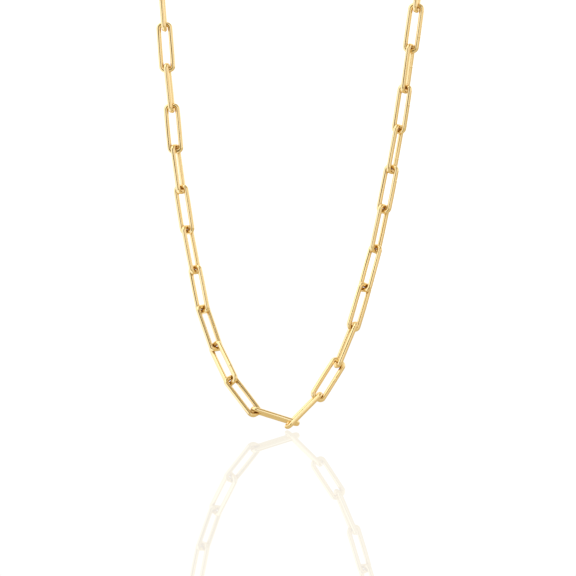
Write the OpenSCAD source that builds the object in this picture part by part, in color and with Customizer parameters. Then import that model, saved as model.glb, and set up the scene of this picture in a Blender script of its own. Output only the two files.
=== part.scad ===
// Paperclip chain necklace: a closed loop of long oval wire links, hung from the nape.
// Lengths are millimetres. X runs across the chest, Y points to the back and Z up.
// The origin is the joint at the middle of the nape. The front stretch hangs in two strands, whose links
// twist slowly, and swings a little forward at its lowest. The back stretch goes the plain way round a
// neck.

/* [Link] */
// Diameter of the round wire that a link is bent from
wire_d = 1.25; // [1:0.05:1.3]
// Length of the hollow inside a link
hollow_l = 10.95; // [10.4:0.05:11.6]
// Width of the hollow inside a link
hollow_w = 1.85; // [1.8:0.05:2.2]
// Inside radius of a link's four corners
corner_r = 0.4; // [0.3:0.05:0.5]
// Free play between two hooked links
joint_play = 0.1; // [0.08:0.01:0.2]

/* [Clasp] */
// Diameter of the wire of the clasp's claw, which is a closed ring
claw_d = 1.25; // [1.1:0.05:1.3]
// Width of the hollow inside the claw
claw_hollow_w = 2.0; // [1.8:0.1:2.6]
// Length of the hollow inside the claw
claw_hollow_l = 6.4; // [5.5:0.1:7]
// Diameter of the wire of the clasp's eye
eye_d = 1.1; // [0.9:0.05:1.2]
// Radius of the hollow inside the eye
eye_hollow_r = 0.9; // [0.8:0.05:1.1]
// Diameter of the clasp's stem between the eye and the claw
stem_d = 1.25; // [1.1:0.05:1.5]
// Diameter of the thumb stud on the side of the claw
stud_d = 1.2; // [0.9:0.05:1.4]
// Height of the thumb stud above the side of the claw
stud_h = 0.9; // [0.5:0.1:1.4]

/* [Round the neck] */
// How late the back stretch turns sideways: a power, where more is later
turn_power = 1.8; // [1.4:0.1:2]
// How late the back stretch leans back from upright: a power, where more is later
lean_power = 0.9; // [0.7:0.05:1.2]
// Untwist of each link in the back stretch, in degrees
untwist_angle = 4; // [3:0.5:5]

/* [Hidden] */
$fn = 48;

// The front stretch, a row for each link, from the top of its left strand down to the lowest joint and
// up to the top of its right strand. The columns are:
// LEAN, the turn in degrees of the link's direction from straight down towards +X,
// TILT, the turn in degrees of that direction out of the hanging plane towards the front,
// ROLL, the turn in degrees of the link's flat about its length, where 0 faces the front,
// SLACK, the loose overlap at the joint after the link, as a share of the wire's diameter,
// IN, that joint's slip towards the inside of the loop, as the same share,
// FRONT, that joint's slip towards the front, as the same share.
LEAN = 0;
TILT = 1;
ROLL = 2;
SLACK = 3;
IN = 4;
FRONT = 5;
FRONT_LINKS = [
    [4.5, 0, -84, 0, 0, 0],
    [4.2, 0, 2, 0, 0, 0],
    [6, 0, -79, 0, 0, 0],
    [5.4, 0, 5, 0, 0, 0],
    [7.8, 0, -65, 0, 0, 0],
    [9, 0, 27, 0, 0, 0],
    [11, 4, -54, 0, 0, 0],
    [11.5, 9, 34, 0, 0, 0],
    [19.3, 15, -39, 0, -0.1, 0],
    [26.5, 26, 31, 0.1, -0.15, 0.1],
    [38, 17, -36, 0.15, 0.35, -0.4],
    [72.5, 0, 78, 0.95, -0.15, 1.25],
    [135, -14, -82, 0, 0, 0],
    [147.5, -22, 6, 0, 0, 0],
    [157.5, -13, -75, 0, 0, 0],
    [163.3, -10, 34, 0, 0, 0],
    [164.6, -10, -39, 0, 0, 0],
    [167.9, -6, 51, 0, 0, 0],
    [168.9, -5, -28, 0, 0, 0],
    [169.6, -2, 58, 0, 0, 0],
    [171.3, 0, -33, 0, 0, 0],
    [172, 0, 66, 0, 0, 0],
    [172, 0, -12, 0, 0, 0],
    [174.5, 0, 75, 0, 0, 0],
];
front_count = len(FRONT_LINKS);
// Places of the back stretch, one of which holds the clasp
back_count = 18;
place_count = front_count + back_count;
// The clasp's place, next to the middle of the back stretch, counted along the chain
clasp_place = front_count + back_count / 2;
link_count = place_count - 1;

// Distance between the wire centres at a link's two ends
link_span = hollow_l + wire_d;
// Length that a link adds to a taut chain
pitch = hollow_l - joint_play;
// Distance from a link's middle line to the wire centre of its side
side_offset = (hollow_w + wire_d) / 2;
// Bend radius of the wire's centre line at a corner
bend_r = corner_r + wire_d / 2;
// Passes that close the loop
closing_passes = 40;
// Small extra turn, in degrees, where the back stretch begins
join_angle = 3;

front_rolls = [for (row = FRONT_LINKS) row[ROLL]];
last_front_roll = front_rolls[front_count - 1];

function unit(v) = v / norm(v);

// Direction of a front link, down its length
function front_direction(row) = [
    sin(row[LEAN]) * cos(row[TILT]),
    -sin(row[TILT]),
    -cos(row[LEAN]) * cos(row[TILT]),
];

// Direction across a front link, in the hanging plane, towards the inside of the loop
function front_inward(row) = [cos(row[LEAN]), 0, sin(row[LEAN])];

// Nearness of a back place to the nape: 0 at a strand's top and 1 at the nape
function nearness(k) = 1 - abs(2 * (k + 0.5) / back_count - 1);

// Turn of a back place round the neck: 0 heads to the back, 90 along the nape, 180 to the front
function heading(k) = let (turn = 90 * pow(nearness(k), turn_power))
    k < back_count / 2 ? turn : 180 - turn;

// Slope of a back place: 90 is straight up and -90 straight down
function slope(k) = let (rise = 90 * (1 - pow(nearness(k), lean_power)))
    k < back_count / 2 ? rise : -rise;

// Direction of a back place before the loop is closed
function back_direction(k) = [
    -cos(slope(k)) * sin(heading(k)),
    cos(slope(k)) * cos(heading(k)),
    sin(slope(k)),
];

// Level direction from a back place towards the inside of the loop
function back_inward(k) = [-cos(heading(k)), -sin(heading(k)), 0];

// Step from a link's end to the start of the next, which hooks back over it
function hook(a, b, slack) = -(wire_d + joint_play + slack) * unit(a + b);

// Slip of the joint after a place, which only the front stretch has
function slip(place) =
    place >= front_count ? [0, 0, 0]
    : let (row = FRONT_LINKS[place])
      wire_d * (row[IN] * front_inward(row) - row[FRONT] * [0, 1, 0]);

// Loose overlap at the joint after a place, which only the front stretch has
function slack(place) = place < front_count ? wire_d * FRONT_LINKS[place][SLACK] : 0;

front_directions = [for (row = FRONT_LINKS) front_direction(row)];

// Step from the start of a place to the start of the next one
function step(place, directions) =
    let (a = directions[place], b = directions[(place + 1) % place_count])
    link_span * a + hook(a, b, slack(place)) + slip(place);

// Starts of all places and, as the last entry, of the first one again
function starts_of(directions) = [
    for (place = 0, p = [0, 0, 0]; place <= place_count;
         p = p + step(place % place_count, directions), place = place + 1) p
];

// Closes the loop: each pass turns every back place a little by its share of what is missing
function close_loop(back, passes) =
    let (missing = -starts_of(concat(front_directions, back))[place_count])
    passes <= 0 ? back
    : close_loop([for (direction = back) unit(direction * pitch * back_count + missing)], passes - 1);

back_directions = close_loop([for (k = [0:back_count - 1]) back_direction(k)], closing_passes);
directions = concat(front_directions, back_directions);
starts = starts_of(directions);

inwards = concat(
    [for (row = FRONT_LINKS) front_inward(row)],
    [for (k = [0:back_count - 1]) let (a = back_directions[k], v = back_inward(k)) unit(v - (v * a) * a)]);

// Turn of a back place: a quarter turn from the one before, less the untwist angle
function back_roll(k) = last_front_roll + join_angle - untwist_angle * (k + 1) - (k % 2 == 0 ? 90 : 0);

rolls = concat(front_rolls, [for (k = [0:back_count - 1]) back_roll(k)]);

// Middle of the joint before the clasp, where the chain lies on the nape
nape = (starts[clasp_place] + starts[clasp_place - 1] + link_span * directions[clasp_place - 1]) / 2;

// Place of a link by its number: the numbers start after the clasp and follow the chain
function place_of(number) = (number + clasp_place) % place_count;

link_names = [for (number = [1:link_count]) str("link_", number)];

// Puts a child, drawn from its start along X with its flat in XY, at its place in the loop
module at_place(place) {
    a = directions[place];
    side = inwards[place];
    u = cos(rolls[place]) * side + sin(rolls[place]) * cross(a, side);
    n = cross(a, u);
    p = starts[place] - nape;
    multmatrix([
        [a.x, u.x, n.x, p.x],
        [a.y, u.y, n.y, p.y],
        [a.z, u.z, n.z, p.z],
        [0, 0, 0, 1],
    ]) children();
}

// Straight round bar of length l and diameter d along X from the origin
module bar(l, d) {
    rotate([0, 90, 0]) cylinder(h = l, d = d);
}

// Bend of a round wire about the origin, in XY, from the angle a0 on
module bend(r, d, a0, angle) {
    rotate([0, 0, a0]) rotate_extrude(angle = angle) translate([r, 0]) circle(d = d);
}

// A link: two long sides, two short ends and four corners of one wire
module wire_link() {
    straight = link_span - 2 * bend_r;
    flat = 2 * (side_offset - bend_r);
    union() {
        for (y = [-side_offset, side_offset]) translate([bend_r, y, 0]) bar(straight, wire_d);
        for (x = [0, link_span]) translate([x, -flat / 2, 0]) rotate([0, 0, 90]) bar(flat, wire_d);
        translate([link_span - bend_r, flat / 2, 0]) bend(bend_r, wire_d, 0, 90);
        translate([bend_r, flat / 2, 0]) bend(bend_r, wire_d, 90, 90);
        translate([bend_r, -flat / 2, 0]) bend(bend_r, wire_d, 180, 90);
        translate([link_span - bend_r, -flat / 2, 0]) bend(bend_r, wire_d, 270, 90);
    }
}

// The clasp: an eye, a stem and a closed claw with a thumb stud, all one plain piece
module claw_clasp() {
    claw_r = (claw_hollow_w + claw_d) / 2;
    claw_end = link_span - wire_d / 2 - claw_hollow_w / 2;
    claw_start = claw_end - claw_hollow_l + claw_hollow_w;
    eye_r = eye_hollow_r + eye_d / 2;
    eye_x = wire_d / 2 + eye_hollow_r;
    stud_x = claw_start + (claw_end - claw_start) / 4;
    union() {
        translate([eye_x, 0, 0]) bend(eye_r, eye_d, 0, 360);
        translate([eye_x + eye_r, 0, 0]) bar(claw_start - claw_r - eye_x - eye_r, stem_d);
        translate([claw_start, 0, 0]) bend(claw_r, claw_d, 90, 180);
        translate([claw_end, 0, 0]) bend(claw_r, claw_d, -90, 180);
        for (y = [-claw_r, claw_r]) translate([claw_start, y, 0]) bar(claw_end - claw_start, claw_d);
        translate([stud_x, claw_r, 0]) rotate([-90, 0, 0]) cylinder(h = claw_d / 2 + stud_h, d = stud_d);
    }
}

// One link of the chain, by its number
module chain_link(number) {
    color("goldenrod") at_place(place_of(number)) wire_link();
}

// The clasp in its place at the nape
module clasp() {
    color("goldenrod") at_place(clasp_place) claw_clasp();
}

for (number = [1:link_count]) chain_link(number);
clasp();
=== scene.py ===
"""Looks of the paperclip chain necklace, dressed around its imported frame.

The chain is a closed loop of long wire links and one clasp. Each link's place and size are measured on
its own frame node, then the link is swept again as a fine, slightly uneven, soldered gold wire. The
clasp keeps its solid's own mesh.
Lengths are metres. X runs across the chest, Y points to the back and Z up.
"""

import logging
import math
from dataclasses import dataclass, field, replace
from enum import IntEnum
from typing import Any

import bpy
import numpy as np
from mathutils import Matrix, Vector


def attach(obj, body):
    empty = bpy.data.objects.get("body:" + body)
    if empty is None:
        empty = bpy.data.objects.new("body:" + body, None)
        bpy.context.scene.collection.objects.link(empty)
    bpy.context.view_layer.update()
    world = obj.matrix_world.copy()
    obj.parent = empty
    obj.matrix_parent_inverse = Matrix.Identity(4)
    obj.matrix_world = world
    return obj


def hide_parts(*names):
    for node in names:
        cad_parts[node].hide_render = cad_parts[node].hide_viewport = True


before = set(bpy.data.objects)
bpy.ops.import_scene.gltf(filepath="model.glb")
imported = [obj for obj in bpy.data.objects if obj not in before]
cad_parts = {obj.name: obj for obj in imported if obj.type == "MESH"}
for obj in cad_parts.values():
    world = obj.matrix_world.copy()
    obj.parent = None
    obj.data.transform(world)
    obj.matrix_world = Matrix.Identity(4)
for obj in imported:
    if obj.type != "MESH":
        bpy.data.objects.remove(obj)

MM = 0.001
BODY = "root"
LINK_PREFIX = "link_"
CLASP_NODE = "clasp"
# Numbers of the left strand's upper links, whose mean depth is the plane that has the photo's scale
LEFT_STRAND = range(9, 16)
# Mesh attribute of painted shade, with some tarnish, that darkens the metal where pieces touch
SHADE_AND_TARNISH = "shade_and_tarnish"
# Mean of the noise texture
NOISE_MEAN = 0.5
# Fraction of the golden ratio: its multiples spread evenly over a turn
GOLDEN_SHARE = 0.618034
# Entries of a link's course: where its first long side begins, and where its four corners begin
FIRST_LONG_SIDE = 2
CORNERS = (1, 3, 5, 7)
# Height of a unit vector past which it counts as steep
STEEP = 0.9

log = logging.getLogger("necklace")


# Shader maths


class Value:
    """A shader socket that adds Math nodes when it is used in a Python expression."""

    def __init__(self, tree: bpy.types.NodeTree, socket: bpy.types.NodeSocket) -> None:
        """Wraps one output socket of a node tree."""
        self.tree = tree
        self.socket = socket

    def _math(self, operation: str, first: Any, second: Any) -> "Value":
        """Adds one Math node.

        Args:
            operation: The Math node's operation.
            first: The first value, a number or a Value.
            second: The second value, a number or a Value.

        Returns:
            The node's result.
        """
        node = self.tree.nodes.new("ShaderNodeMath")
        node.operation = operation
        for place, value in enumerate((first, second)):
            if isinstance(value, Value):
                self.tree.links.new(value.socket, node.inputs[place])
            else:
                node.inputs[place].default_value = value
        return Value(self.tree, node.outputs[0])

    def __add__(self, other: Any) -> "Value":
        """Sum with a number or a Value."""
        return self._math("ADD", self, other)

    __radd__ = __add__

    def __sub__(self, other: Any) -> "Value":
        """This value less the other."""
        return self._math("SUBTRACT", self, other)

    def __rsub__(self, other: Any) -> "Value":
        """The other less this value."""
        return self._math("SUBTRACT", other, self)

    def __mul__(self, other: Any) -> "Value":
        """Product with a number or a Value."""
        return self._math("MULTIPLY", self, other)

    __rmul__ = __mul__


class Shader:
    """The node tree of one material or world, with one method that adds any node."""

    def __init__(self, tree: bpy.types.NodeTree) -> None:
        """Empties the tree and keeps it."""
        self.tree = tree
        tree.nodes.clear()

    def node(self, kind: str, settings: dict[str, Any] | None = None, **inputs: Any) -> bpy.types.Node:
        """Adds a node.

        Args:
            kind: The node's type, without its leading ShaderNode.
            settings: Properties of the node, set first.
            inputs: Values or links of its sockets, by name with underscores for spaces, or by an
                underscore and the socket's number.

        Returns:
            The new node.
        """
        node = self.tree.nodes.new("ShaderNode" + kind)
        for name, value in (settings or {}).items():
            setattr(node, name, value)
        for name, value in inputs.items():
            key = int(name[1:]) if name[1:].isdigit() else name.replace("_", " ")
            socket = node.inputs[key]
            if isinstance(value, Value):
                value = value.socket
            if isinstance(value, bpy.types.NodeSocket):
                self.tree.links.new(value, socket)
            else:
                socket.default_value = value
        return node

    def value(self, kind: str, output: int | str = 0, settings: dict[str, Any] | None = None,
              **inputs: Any) -> Value:
        """Adds a node and wraps one of its outputs for use in expressions."""
        return Value(self.tree, self.node(kind, settings, **inputs).outputs[output])

    def noise(self, vector: bpy.types.NodeSocket, scale: float, detail: float) -> Value:
        """Adds a noise texture and wraps its grey."""
        return self.value("TexNoise", "Fac", Vector=vector, Scale=scale, Detail=detail)

    def mix(self, factor: Value, first: Any, second: Any) -> bpy.types.NodeSocket:
        """Mixes two colours.

        Args:
            factor: Share of the second colour.
            first: The first colour, a value or a link.
            second: The second colour, a value or a link.

        Returns:
            The mixed colour's socket: a Mix node of colours takes them at sockets 6 and 7 and gives
            its result at output 2.
        """
        return self.node("Mix", {"data_type": "RGBA"}, _0=factor, _6=first, _7=second).outputs[2]


# Finishes


@dataclass(frozen=True)
class PolishedGold:
    """Yellow gold plate, polished, with faint drawing lines along the wire and soft tumbling marks.

    Colours are linear. Scales are cycles per metre on the piece.

    Attributes:
        name: The material's name.
        light: The lighter tone.
        deep: The deeper tone, which a slow noise mixes with the lighter one.
        shade_and_tarnish_colour: The colour where pieces touch: painted shade in the crevices between
            links, with some tarnish.
        worn_roughness: Roughness that rubbing adds.
        edge: Tint of reflections at a grazing angle.
        roughness: Mean roughness of the polish.
        smudge_roughness: How far the smudges vary it.
        line_roughness: How far the drawing lines vary it.
        tone_scale: Scale of the tones.
        tone_detail: Octaves of the tones' noise.
        smudge_scale: Scale of the smudges.
        smudge_detail: Octaves of the smudges' noise.
        line_scale: Scale of the drawing lines round the wire.
        line_stretch: Scale of the drawing lines along the wire.
        mark_scale: Scale of the tumbling marks.
        relief_detail: Octaves of the lines' and the marks' noise.
        line_height: Height of the drawing lines.
        mark_height: Height of the tumbling marks.
    """

    name: str = "polished_gold"
    light: tuple[float, float, float] = (0.965, 0.81, 0.49)
    deep: tuple[float, float, float] = (0.935, 0.74, 0.405)
    # Painted shade, with some tarnish, for the crevices where links touch
    shade_and_tarnish_colour: tuple[float, float, float] = (0.42, 0.20, 0.01)
    worn_roughness: float = 0.12
    edge: tuple[float, float, float] = (1.0, 0.86, 0.60)
    roughness: float = 0.11
    smudge_roughness: float = 0.07
    line_roughness: float = 0.05
    tone_scale: float = 260.0
    tone_detail: float = 2.0
    smudge_scale: float = 900.0
    smudge_detail: float = 4.0
    line_scale: float = 9000.0
    line_stretch: float = 90.0
    mark_scale: float = 2600.0
    relief_detail: float = 3.0
    line_height: float = 0.0009 * MM
    mark_height: float = 0.003 * MM

    def material(self) -> bpy.types.Material:
        """Builds the material.

        Returns:
            A metal whose tone, roughness and fine relief vary, with painted shade and tarnish where pieces
            touch.
        """
        material = bpy.data.materials.new(self.name)
        material.use_nodes = True
        shader = Shader(material.node_tree)
        place = shader.node("TexCoord").outputs
        tone = shader.noise(place["Object"], self.tone_scale, self.tone_detail)
        smudge = shader.noise(place["Object"], self.smudge_scale, self.smudge_detail)
        marks = shader.noise(place["Object"], self.mark_scale, self.relief_detail)
        along = shader.node("Mapping", Vector=place["UV"], Scale=(self.line_stretch, self.line_scale, 1.0))
        lines = shader.noise(along.outputs[0], 1.0, self.relief_detail)
        # Painted shade, with some tarnish, where pieces touch: it darkens the colour and adds roughness
        shade_and_tarnish = shader.value("Attribute", "Fac", {"attribute_name": SHADE_AND_TARNISH})
        fresh = shader.mix(tone, (*self.light, 1.0), (*self.deep, 1.0))
        colour = shader.mix(shade_and_tarnish, fresh, (*self.shade_and_tarnish_colour, 1.0))
        mean = NOISE_MEAN * (self.smudge_roughness + self.line_roughness)
        roughness = (smudge * self.smudge_roughness + lines * self.line_roughness + self.roughness
                     + shade_and_tarnish * self.worn_roughness - mean)
        relief = shader.node("Bump", Height=lines * self.line_height + marks * self.mark_height,
                             Strength=1.0, Distance=1.0)
        surface = shader.node("BsdfPrincipled", Base_Color=colour, Metallic=1.0, Roughness=roughness,
                              Specular_Tint=(*self.edge, 1.0), Normal=relief.outputs[0])
        shader.node("OutputMaterial", Surface=surface.outputs[0])
        return material


@dataclass(frozen=True)
class GlossyFloor:
    """Plain white floor with a weak, perfectly sharp mirror image in it.

    Attributes:
        name: The material's name.
        mirror_share: Share of red, green and blue that the mirror image gives.
    """

    name: str = "white_floor"
    mirror_share: tuple[float, float, float] = (0.17, 0.20, 0.26)

    def material(self) -> bpy.types.Material:
        """Builds the material: an evenly lit white, less what the weak gloss adds to it."""
        material = bpy.data.materials.new(self.name)
        material.use_nodes = True
        shader = Shader(material.node_tree)
        rest = tuple(1 - share for share in self.mirror_share)
        white = shader.node("Emission", Color=(*rest, 1.0), Strength=1.0)
        gloss = shader.node("BsdfGlossy", Color=(*self.mirror_share, 1.0), Roughness=0.0)
        both = shader.node("AddShader", _0=white.outputs[0], _1=gloss.outputs[0])
        shader.node("OutputMaterial", Surface=both.outputs[0])
        return material


# Meshes


def closed_tube_faces(rings: int, sides: int) -> np.ndarray:
    """Quads between the points of a tube that closes on itself both ways.

    Args:
        rings: Number of rings along the tube.
        sides: Number of points in a ring.

    Returns:
        An array of four point numbers for each quad, turned outwards.
    """
    ring, side = np.meshgrid(np.arange(rings), np.arange(sides), indexing="ij")
    next_ring, next_side = (ring + 1) % rings, (side + 1) % sides
    corners = [(ring, side), (next_ring, side), (next_ring, next_side), (ring, next_side)]
    return np.stack([a * sides + b for a, b in corners], axis=-1).reshape(-1, 4)


def mesh_object(name: str, points: np.ndarray, faces: np.ndarray) -> bpy.types.Object:
    """Makes an object at the origin from arrays of points and faces, shaded smooth.

    Args:
        name: The object's name.
        points: Points in the frame, in metres, one row each.
        faces: Point numbers of the faces, one row each.

    Returns:
        The new object, linked to the scene.
    """
    mesh = bpy.data.meshes.new(name)
    mesh.from_pydata(points.tolist(), [], faces.tolist())
    mesh.shade_smooth()
    piece = bpy.data.objects.new(name, mesh)
    bpy.context.scene.collection.objects.link(piece)
    return piece


def unit(vector: np.ndarray) -> np.ndarray:
    """The vector at length one."""
    return vector / np.linalg.norm(vector)


def node_points(node: str) -> np.ndarray:
    """The points of a frame node, one row each."""
    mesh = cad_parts[node].data
    points = np.empty(len(mesh.vertices) * 3)
    mesh.vertices.foreach_get("co", points)
    return points.reshape(-1, 3)


@dataclass
class Place:
    """Where a flat, long piece lies.

    Attributes:
        middle: Its centre of volume.
        axes: Its three axes, one row each: along it, across it and square to its flat.
        low: Its least reach from the middle along each axis.
        high: Its greatest reach along each axis.
    """

    middle: np.ndarray
    axes: np.ndarray
    low: np.ndarray
    high: np.ndarray

    @classmethod
    def of_node(cls, node: str) -> "Place":
        """Measures a frame node.

        The axes are the main axes of the solid's own second moments, summed over the tetrahedra
        between its triangles and an origin. A tetrahedron's volume is a sixth of its corners' triple
        product, its centre a quarter of the corners' sum, and its moments a twentieth of the volume
        times the products of the corners with themselves and of their sum with itself.

        Args:
            node: Name of the frame node.

        Returns:
            The place.
        """
        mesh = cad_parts[node].data
        mesh.calc_loop_triangles()
        points = node_points(node)
        corners = np.empty(len(mesh.loop_triangles) * 3, dtype=np.int32)
        mesh.loop_triangles.foreach_get("vertices", corners)
        origin = points.mean(axis=0)
        triangles = (points - origin)[corners.reshape(-1, 3)]
        volumes = np.einsum("ij,ij->i", triangles[:, 0], np.cross(triangles[:, 1], triangles[:, 2])) / 6
        sums = triangles.sum(axis=1)
        centre = (volumes[:, None] * sums).sum(axis=0) / (4 * volumes.sum())
        squares = np.einsum("tki,tkj->tij", triangles, triangles) + sums[:, :, None] * sums[:, None, :]
        moments = (volumes[:, None, None] * squares).sum(axis=0) / (20 * volumes.sum())
        _, vectors = np.linalg.eigh(moments - np.outer(centre, centre))
        along, across = (cls._forward(vectors[:, column]) for column in (2, 1))
        axes = np.array([along, across, np.cross(along, across)])
        spread = (points - origin - centre) @ axes.T
        return cls(origin + centre, axes, spread.min(axis=0), spread.max(axis=0))

    @staticmethod
    def _forward(vector: np.ndarray) -> np.ndarray:
        """The vector or its opposite, whichever has its largest part positive."""
        return vector * np.sign(vector[np.abs(vector).argmax()])

    @property
    def size(self) -> np.ndarray:
        """Extents along the three axes."""
        return self.high - self.low

    def to_frame(self, points: np.ndarray) -> np.ndarray:
        """Carries points from the piece's own axes to the frame."""
        return self.middle + points @ self.axes


# Pieces


@dataclass(frozen=True)
class Neighbour:
    """What a link hooks into.

    Attributes:
        points: Points of the middle line of the next piece's wire, or of its surface.
        radius: The wire's radius round them, or nothing where they lie on the surface.
    """

    points: np.ndarray
    radius: float

    def gap(self, points: np.ndarray) -> np.ndarray:
        """Distance from each given point to the nearest of the neighbour's, less the radius."""
        apart = np.linalg.norm(points[:, None, :] - self.points[None, :, :], axis=-1)
        return apart.min(axis=1) - self.radius


class Trait(IntEnum):
    """What differs from link to link.

    Attributes:
        SEAM: Where the seam lies along its side.
        SWAY: Where the wire strays within the link's flat.
        LIFT: Where it strays off the flat.
        TWIST: Where the faint flats turn to and fro.
        FLATS: Where the faint flats lie round the wire.
    """

    SEAM = 1
    SWAY = 2
    LIFT = 3
    TWIST = 4
    FLATS = 5


@dataclass
class WireLink:
    """One link: a round wire bent to a long loop with four tight corners and soldered in a long side.

    Attributes:
        number: The link's number in the frame.
        corner_radius: Inside radius of the corners.
        sides: Points round the wire.
        rings: Rings along the wire.
        ring_samples: Samples along the wire from which the rings' spacing is worked out.
        corner_density: How much closer the rings stand at the corners.
        seam_density: How much closer they stand at the seam.
        seam_spread: Reach of the closer rings at the seam, in bead lengths.
        seam_drift: How far the seam may lie from the middle of its side, as a share of half the side.
        bow: How far the long sides bow outwards at their middles.
        bow_power: Power of the outward angle's sine, which keeps the bow to those sides.
        flatness: Depth of the faint flats that drawing left on the wire, as a share of its radius.
        flat_count: Number of flats round the wire.
        flat_turns: How far the flats turn to and fro about the wire, in radians.
        bead_height: Height of the solder bead.
        bead_length: Length along the wire over which the bead falls off.
        wander: How far the centre line strays within the link's flat and off it.
        sway_waves: Waves of that straying within the flat, once round the link.
        lift_waves: Waves of it off the flat.
        fullness: How much fuller than its solid the wire is on the inside of the link.
        meeting_points: Points of the even centre line to which neighbours measure their gaps.
        shade_and_tarnish_depth: Strength of the painted shade and tarnish where pieces touch.
        shade_and_tarnish_reach: Gap at which that painted shade and tarnish has fallen to about a third.
        shade_and_tarnish_edge: Power of the gap in that fall, where more is a sharper edge.
    """

    number: int
    corner_radius: float = 0.4 * MM
    sides: int = 24
    rings: int = 132
    ring_samples: int = 4000
    corner_density: float = 5.0
    seam_density: float = 7.0
    seam_spread: float = 1.5
    seam_drift: float = 0.5
    bow: float = 0.03 * MM
    bow_power: int = 8
    flatness: float = 0.022
    flat_count: int = 4
    flat_turns: float = 0.35
    bead_height: float = 0.018 * MM
    bead_length: float = 0.22 * MM
    wander: float = 0.006 * MM
    sway_waves: int = 3
    lift_waves: int = 2
    fullness: float = 0.045 * MM
    meeting_points: int = 160
    # Painted shade, with some tarnish, in the crevices where pieces touch
    shade_and_tarnish_depth: float = 1.0
    shade_and_tarnish_reach: float = 0.42 * MM
    shade_and_tarnish_edge: float = 2.5

    @property
    def node(self) -> str:
        """Name of the frame node that this link stands for."""
        return f"{LINK_PREFIX}{self.number}"

    def phase(self, trait: Trait) -> float:
        """An angle for one trait, which differs from link to link by the golden share of its number."""
        return 2 * math.pi * ((self.number * trait * GOLDEN_SHARE) % 1.0)

    def _course(self, place: Place) -> np.ndarray:
        """Works out how the centre line runs round the link.

        It is a rectangle's core with a circle carried round it: along a straight side the core point
        moves and the circle's angle stands, and at a corner the angle turns and the core point stands.
        All of them are linear in the length run between the ends of the sides and corners.

        Args:
            place: Where the link lies.

        Returns:
            Four rows for those ends: the length run, the core point's x and y, and the circle's angle.
        """
        length, width, wire = place.size
        bend = self.corner_radius + wire / 2
        half_x, half_y = (length - wire) / 2 - bend, (width - wire) / 2 - bend
        quarter = bend * math.pi / 2
        runs = [half_y, quarter, 2 * half_x, quarter, 2 * half_y, quarter, 2 * half_x, quarter, half_y]
        return np.array([
            np.concatenate([[0], np.cumsum(runs)]),
            half_x * np.array([1, 1, 1, -1, -1, -1, -1, 1, 1, 1]),
            half_y * np.array([0, 1, 1, 1, 1, -1, -1, -1, -1, 0]),
            math.pi / 2 * np.array([0, 0, 1, 1, 2, 2, 3, 3, 4, 4]),
        ])

    def as_neighbour(self) -> Neighbour:
        """The link's even wire as the next links meet it."""
        place = Place.of_node(self.node)
        marks, *course = self._course(place)
        s = marks[-1] * np.arange(self.meeting_points) / self.meeting_points
        x, y, angle = (np.interp(s, marks, row) for row in course)
        radius = place.size[2] / 2
        bend = self.corner_radius + radius
        line = np.stack([x + bend * np.cos(angle), y + bend * np.sin(angle), np.zeros_like(s)], axis=-1)
        return Neighbour(place.to_frame(line), radius)

    def build(self, material: bpy.types.Material, neighbours: list[Neighbour]) -> bpy.types.Object:
        """Sweeps the wire round the link's centre line.

        The surface is the centre line plus the section's reach times cos(t) outwards and sin(t) off
        the link's flat, where t runs round the wire.

        Args:
            material: The link's finish.
            neighbours: The pieces that the link hooks into.

        Returns:
            The link's object.
        """
        place = Place.of_node(self.node)
        radius = place.size[2] / 2
        marks, *course = self._course(place)
        half_x = course[0].max()
        seam = marks[FIRST_LONG_SIDE] + half_x * (1 + self.seam_drift * math.sin(self.phase(Trait.SEAM)))
        s = self._stations(marks, seam)
        x, y, angle = (np.interp(s, marks, row) for row in course)
        turn = 2 * math.pi * s / marks[-1]
        t = 2 * math.pi * np.arange(self.sides) / self.sides
        outward = np.stack([np.cos(angle), np.sin(angle), np.zeros_like(s)], axis=-1)
        off_flat = np.array([0.0, 0.0, 1.0])
        sway, lift = self._straying(x / half_x, angle, turn)
        line = np.stack([x, y, lift], axis=-1) + (self.corner_radius + radius + sway)[:, None] * outward
        section = self._section(radius, s - seam, turn, t)
        surface = (line[:, None, :] + (section * np.cos(t))[:, :, None] * outward[:, None, :]
                   + (section * np.sin(t))[:, :, None] * off_flat)
        points = place.to_frame(surface.reshape(-1, 3))
        piece = mesh_object(f"wire_{self.node}", points, closed_tube_faces(len(s), self.sides))
        self._unwrap(piece.data, s, marks[-1], 2 * math.pi * radius)
        # Paints shade, with some tarnish, where the next pieces touch
        self._paint_shade_and_tarnish(piece.data, points, neighbours)
        piece.data.materials.append(material)
        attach(piece, BODY)
        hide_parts(self.node)
        return piece

    def _straying(self, share: np.ndarray, angle: np.ndarray,
                  turn: np.ndarray) -> tuple[np.ndarray, np.ndarray]:
        """How far the centre line strays from its even course.

        In the flat it strays outwards by the bow, a parabola along each long side, and by a sine wave.
        Off the flat it strays by another sine wave.

        Args:
            share: Place of each ring along its long side, from -1 to 1.
            angle: Angle of the outward direction at each ring.
            turn: Share of the way round the link at each ring, as an angle.

        Returns:
            The straying outwards and that off the flat, one value for each ring.
        """
        bowed = self.bow * (1 - share ** 2) * np.abs(np.sin(angle)) ** self.bow_power
        sway = bowed + self.wander * np.sin(self.sway_waves * turn + self.phase(Trait.SWAY))
        return sway, self.wander * np.sin(self.lift_waves * turn + self.phase(Trait.LIFT))

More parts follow.
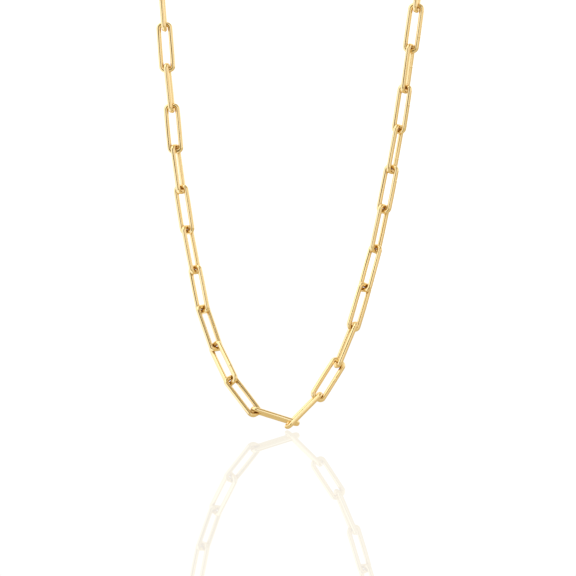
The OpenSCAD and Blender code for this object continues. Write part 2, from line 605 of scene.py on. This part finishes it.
    def _section(self, radius: float, off_seam: np.ndarray, turn: np.ndarray, t: np.ndarray) -> np.ndarray:
        """Reach of the wire's surface from its centre line.

        It is the radius less the faint flats, plus a bell for the solder bead and, on the inside of
        the link, the fullness times the square of cos(t).

        Args:
            radius: The even wire's radius.
            off_seam: Length from the seam to each ring.
            turn: Share of the way round the link at each ring, as an angle.
            t: Angles of the points round the wire, where 0 is outwards.

        Returns:
            The reach, a row for each ring and a column for each point round it.
        """
        twist = self.flat_turns * np.sin(turn + self.phase(Trait.TWIST)) + self.phase(Trait.FLATS)
        flats = np.cos(self.flat_count * (t[None, :] + twist[:, None]))
        bead = self.bead_height * np.exp(-((off_seam / self.bead_length) ** 2))
        inner = self.fullness * np.clip(-np.cos(t), 0.0, 1.0) ** 2
        return radius * (1 + self.flatness * (flats - 1)) + bead[:, None] + inner

    def _stations(self, marks: np.ndarray, seam: float) -> np.ndarray:
        """Lengths along the wire at which its rings stand, closer at the corners and the seam.

        Args:
            marks: Lengths at which the straight sides and the corners begin.
            seam: Length at which the solder bead lies.

        Returns:
            The lengths, one for each ring, from 0 up to the whole wire.
        """
        fine = np.linspace(0, marks[-1], self.ring_samples)
        density = np.ones_like(fine)
        for corner in CORNERS:
            inside = (fine > marks[corner]) & (fine < marks[corner + 1])
            density[inside] += self.corner_density
        reach = self.seam_spread * self.bead_length
        density += self.seam_density * np.exp(-(((fine - seam) / reach) ** 2))
        run = np.cumsum(density) - density[0]
        return np.interp(np.arange(self.rings) / self.rings, run / run[-1], fine)

    def _unwrap(self, mesh: bpy.types.Mesh, s: np.ndarray, length: float, girth: float) -> None:
        """Gives the mesh a UV map in metres: the length run along the wire and the way round it.

        Args:
            mesh: The link's mesh, made of the quads of a closed tube.
            s: Lengths of the rings.
            length: Length of the whole wire.
            girth: Way round the wire.
        """
        ring, side = np.meshgrid(np.arange(len(s)), np.arange(self.sides), indexing="ij")
        ends = np.append(s, length)
        u = np.stack([ends[ring], ends[ring + 1], ends[ring + 1], ends[ring]], axis=-1)
        v = np.stack([side, side, side + 1, side + 1], axis=-1) * girth / self.sides
        layer = mesh.uv_layers.new(name="wire")
        layer.data.foreach_set("uv", np.stack([u, v], axis=-1).ravel())

    def _paint_shade_and_tarnish(self, mesh: bpy.types.Mesh, points: np.ndarray, neighbours: list[Neighbour]) -> None:
        """Paints shade, with some tarnish, where the next pieces touch.

        The painted shade and tarnish is its depth times e to the power of minus the gap's share of the
        reach, itself raised to the power of the edge, where the gap is that to the nearest of them.

        Args:
            mesh: The link's mesh.
            points: The mesh's points in the frame.
            neighbours: The pieces that the link hooks into.
        """
        gap = np.clip(np.min([other.gap(points) for other in neighbours], axis=0), 0.0, None)
        # Painted shade and tarnish, darkest in the crevices where the pieces touch
        shade_and_tarnish = self.shade_and_tarnish_depth * np.exp(-((gap / self.shade_and_tarnish_reach) ** self.shade_and_tarnish_edge))
        mesh.attributes.new(SHADE_AND_TARNISH, "FLOAT", "POINT").data.foreach_set("value", shade_and_tarnish)


@dataclass(frozen=True)
class Clasp:
    """The clasp at the nape, which keeps its solid's own mesh.

    Attributes:
        node: Name of its frame node.
    """

    node: str = CLASP_NODE

    def as_neighbour(self) -> Neighbour:
        """The clasp's surface as its two links meet it."""
        return Neighbour(node_points(self.node), 0.0)

    def dress(self, gold: bpy.types.Material) -> None:
        """Gives the clasp's node the gold in place of its plain finish."""
        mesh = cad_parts[self.node].data
        mesh.materials.clear()
        mesh.materials.append(gold)
        log.info("clasp: the frame's own mesh of %d faces", len(mesh.polygons))


@dataclass
class Chain:
    """The necklace: all its links, and the clasp that closes it.

    Attributes:
        numbers: The links' numbers, in their order along the chain.
        clasp: The clasp between the last link and the first.
    """

    numbers: list[int] = field(default_factory=lambda: sorted(
        int(name.removeprefix(LINK_PREFIX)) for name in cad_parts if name.startswith(LINK_PREFIX)))
    clasp: Clasp = Clasp()

    def build(self, gold: bpy.types.Material) -> None:
        """Builds every link and dresses the clasp.

        Args:
            gold: Their finish.
        """
        links = [WireLink(number) for number in self.numbers]
        clasp = self.clasp.as_neighbour()
        met = [clasp, *(link.as_neighbour() for link in links), clasp]
        pieces = [link.build(gold, [met[place], met[place + 2]]) for place, link in enumerate(links)]
        log.info("chain: %d links of %d faces each", len(pieces), len(pieces[0].data.polygons))
        self.clasp.dress(gold)


# Studio


@dataclass(frozen=True)
class Card:
    """A flat card for the gold to mirror: a softbox about as bright as the room, or a darker flag.

    Only the gold's soft reflections see it. The floor's mirror, which is perfectly sharp, sees through it.

    Attributes:
        name: Name of the card and its material.
        middle: Its middle.
        size: Its width and height.
        colour: Linear colour of its glow.
        strength: Strength of its glow.
        faces: The point that it faces.
    """

    name: str
    middle: tuple[float, float, float]
    size: tuple[float, float]
    colour: tuple[float, float, float]
    strength: float
    faces: tuple[float, float, float] = (0.0, -0.045, -0.11)

    def material(self) -> bpy.types.Material:
        """Builds the card's even glow, which perfectly sharp reflections pass through."""
        material = bpy.data.materials.new(self.name)
        material.use_nodes = True
        shader = Shader(material.node_tree)
        glow = shader.node("Emission", Color=(*self.colour, 1.0), Strength=self.strength).outputs[0]
        sharp = shader.node("LightPath").outputs["Is Singular Ray"]
        clear = shader.node("BsdfTransparent").outputs[0]
        surface = shader.node("MixShader", _0=sharp, _1=glow, _2=clear)
        shader.node("OutputMaterial", Surface=surface.outputs[0])
        return material

    def build(self) -> bpy.types.Object:
        """Puts the card square to the line to the point that it faces.

        Returns:
            The card's object, unseen by the camera.
        """
        half_w, half_h = self.size[0] / 2, self.size[1] / 2
        middle, target = np.array(self.middle), np.array(self.faces)
        towards = unit(target - middle)
        level = abs(towards[2]) < STEEP
        right = unit(np.cross(towards, np.array([0.0, 0.0, 1.0] if level else [0.0, 1.0, 0.0])))
        up = np.cross(right, towards)
        signs = np.array([[-1, -1], [1, -1], [1, 1], [-1, 1]])
        points = middle + signs[:, :1] * half_w * right + signs[:, 1:] * half_h * up
        card = mesh_object(self.name, points, np.array([[0, 1, 2, 3]]))
        card.data.materials.append(self.material())
        card.visible_camera = False
        card.visible_diffuse = False
        card.visible_shadow = False
        card.visible_transmission = False
        return card


@dataclass
class Studio:
    """White room, glossy floor, cards and camera.

    Attributes:
        floor_gap: How far the floor lies under the chain's lowest point.
        floor_size: Side of the floor.
        room_white: Strength of the room's white light.
        scale_px_per_mm: The photo's scale in the plane of the left strand.
        camera_distance: Distance from the camera to that plane.
        camera_x: The camera's place across the chest.
        clip_start: Nearest distance that the camera sees.
        photo_side_px: Width and height of the photo.
        lowest_px: Where the chain's lowest point shows, in pixels down from the photo's top.
        shade_gap: How far the shade lies under the floor.
        shade: The table's shaded right half, which the gold's underside mirrors instead of the floor.
            The floor gives its height.
        cards: The cards that stand round the chain.
    """

    floor_gap: float = 0.15 * MM
    floor_size: float = 12.0
    room_white: float = 1.15
    scale_px_per_mm: float = 3.763
    camera_distance: float = 900 * MM
    camera_x: float = 0.48 * MM
    clip_start: float = 10 * MM
    photo_side_px: int = 576
    lowest_px: float = 429.0
    shade_gap: float = 0.05 * MM
    shade: Card = Card("floor_shade", (1.23, -0.05, 0.0), (2.5, 4.0), (1.0, 0.86, 0.58), 0.72,
                       faces=(1.23, -0.05, 1.0))
    cards: tuple[Card, ...] = (
        Card("left_flag", (-0.45, -1.30, -0.05), (0.90, 2.2), (1.0, 0.74, 0.33), 0.27),
        Card("right_fill", (1.2, -1.05, -0.05), (1.9, 2.2), (1.0, 0.86, 0.67), 0.92),
        Card("top_softbox", (-0.9, -0.5, 1.1), (1.8, 1.6), (1.0, 1.0, 0.90), 1.4),
        Card("top_fill", (0.7, -0.6, 1.3), (2.0, 1.8), (1.0, 0.78, 0.44), 0.55),
    )

    def build(self, lowest: np.ndarray, front: float) -> None:
        """Sets up the whole studio.

        Args:
            lowest: The chain's lowest point.
            front: Depth of the plane that the chain's left strand hangs in.
        """
        self._world()
        floor_height = float(lowest[2]) - self.floor_gap
        self._floor(floor_height)
        x, y, _ = self.shade.middle
        replace(self.shade, middle=(x, y, floor_height - self.shade_gap)).build()
        for card in self.cards:
            card.build()
        self._camera(lowest, front)
        log.info("studio: floor, shade, %d cards and camera", len(self.cards))

    def _world(self) -> None:
        """Lights the scene with an even white room."""
        world = bpy.data.worlds.new("white_room")
        world.use_nodes = True
        shader = Shader(world.node_tree)
        white = shader.node("Background", Color=(1.0, 1.0, 1.0, 1.0), Strength=self.room_white)
        shader.node("OutputWorld", Surface=white.outputs[0])
        bpy.context.scene.world = world
        bpy.context.scene.view_settings.view_transform = "Standard"

    def _floor(self, height: float) -> None:
        """Lays the floor, which the gold's own reflections pass through.

        Args:
            height: Height of the floor.
        """
        half = self.floor_size / 2
        corners = np.array([[-half, -half, height], [half, -half, height],
                            [half, half, height], [-half, half, height]])
        floor = mesh_object("floor", corners, np.array([[0, 1, 2, 3]]))
        floor.data.materials.append(GlossyFloor().material())
        floor.visible_glossy = False

    def _camera(self, lowest: np.ndarray, front: float) -> None:
        """Places a level camera so that the front plane has the photo's scale.

        It stands as high as puts the chain's lowest point, which hangs nearer than that plane, at its
        place in the photo: a length shows larger by the distance to the plane over the distance to it.

        Args:
            lowest: The chain's lowest point.
            front: Depth of the front plane.
        """
        field_width = self.photo_side_px / self.scale_px_per_mm * MM
        data = bpy.data.cameras.new("camera")
        data.sensor_fit = "HORIZONTAL"
        data.angle = 2 * math.atan(field_width / 2 / self.camera_distance)
        data.clip_start = self.clip_start
        camera = bpy.data.objects.new("camera", data)
        nearer = self.camera_distance / (self.camera_distance + float(lowest[1]) - front)
        drop_px = self.lowest_px - self.photo_side_px / 2
        height = float(lowest[2]) + drop_px / (self.scale_px_per_mm * nearer) * MM
        camera.location = (self.camera_x, front - self.camera_distance, height)
        camera.rotation_euler = (math.pi / 2, 0.0, 0.0)
        bpy.context.scene.collection.objects.link(camera)
        bpy.context.scene.camera = camera


def main() -> None:
    """Builds the necklace and its studio."""
    logging.basicConfig(level=logging.INFO, format="%(name)s %(message)s")
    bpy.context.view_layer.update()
    Chain().build(PolishedGold().material())
    front = np.mean([Place.of_node(f"{LINK_PREFIX}{number}").middle[1] for number in LEFT_STRAND])
    points = np.concatenate([node_points(name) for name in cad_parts])
    Studio().build(points[points[:, 2].argmin()], float(front))


if __name__ == "__main__":
    main()
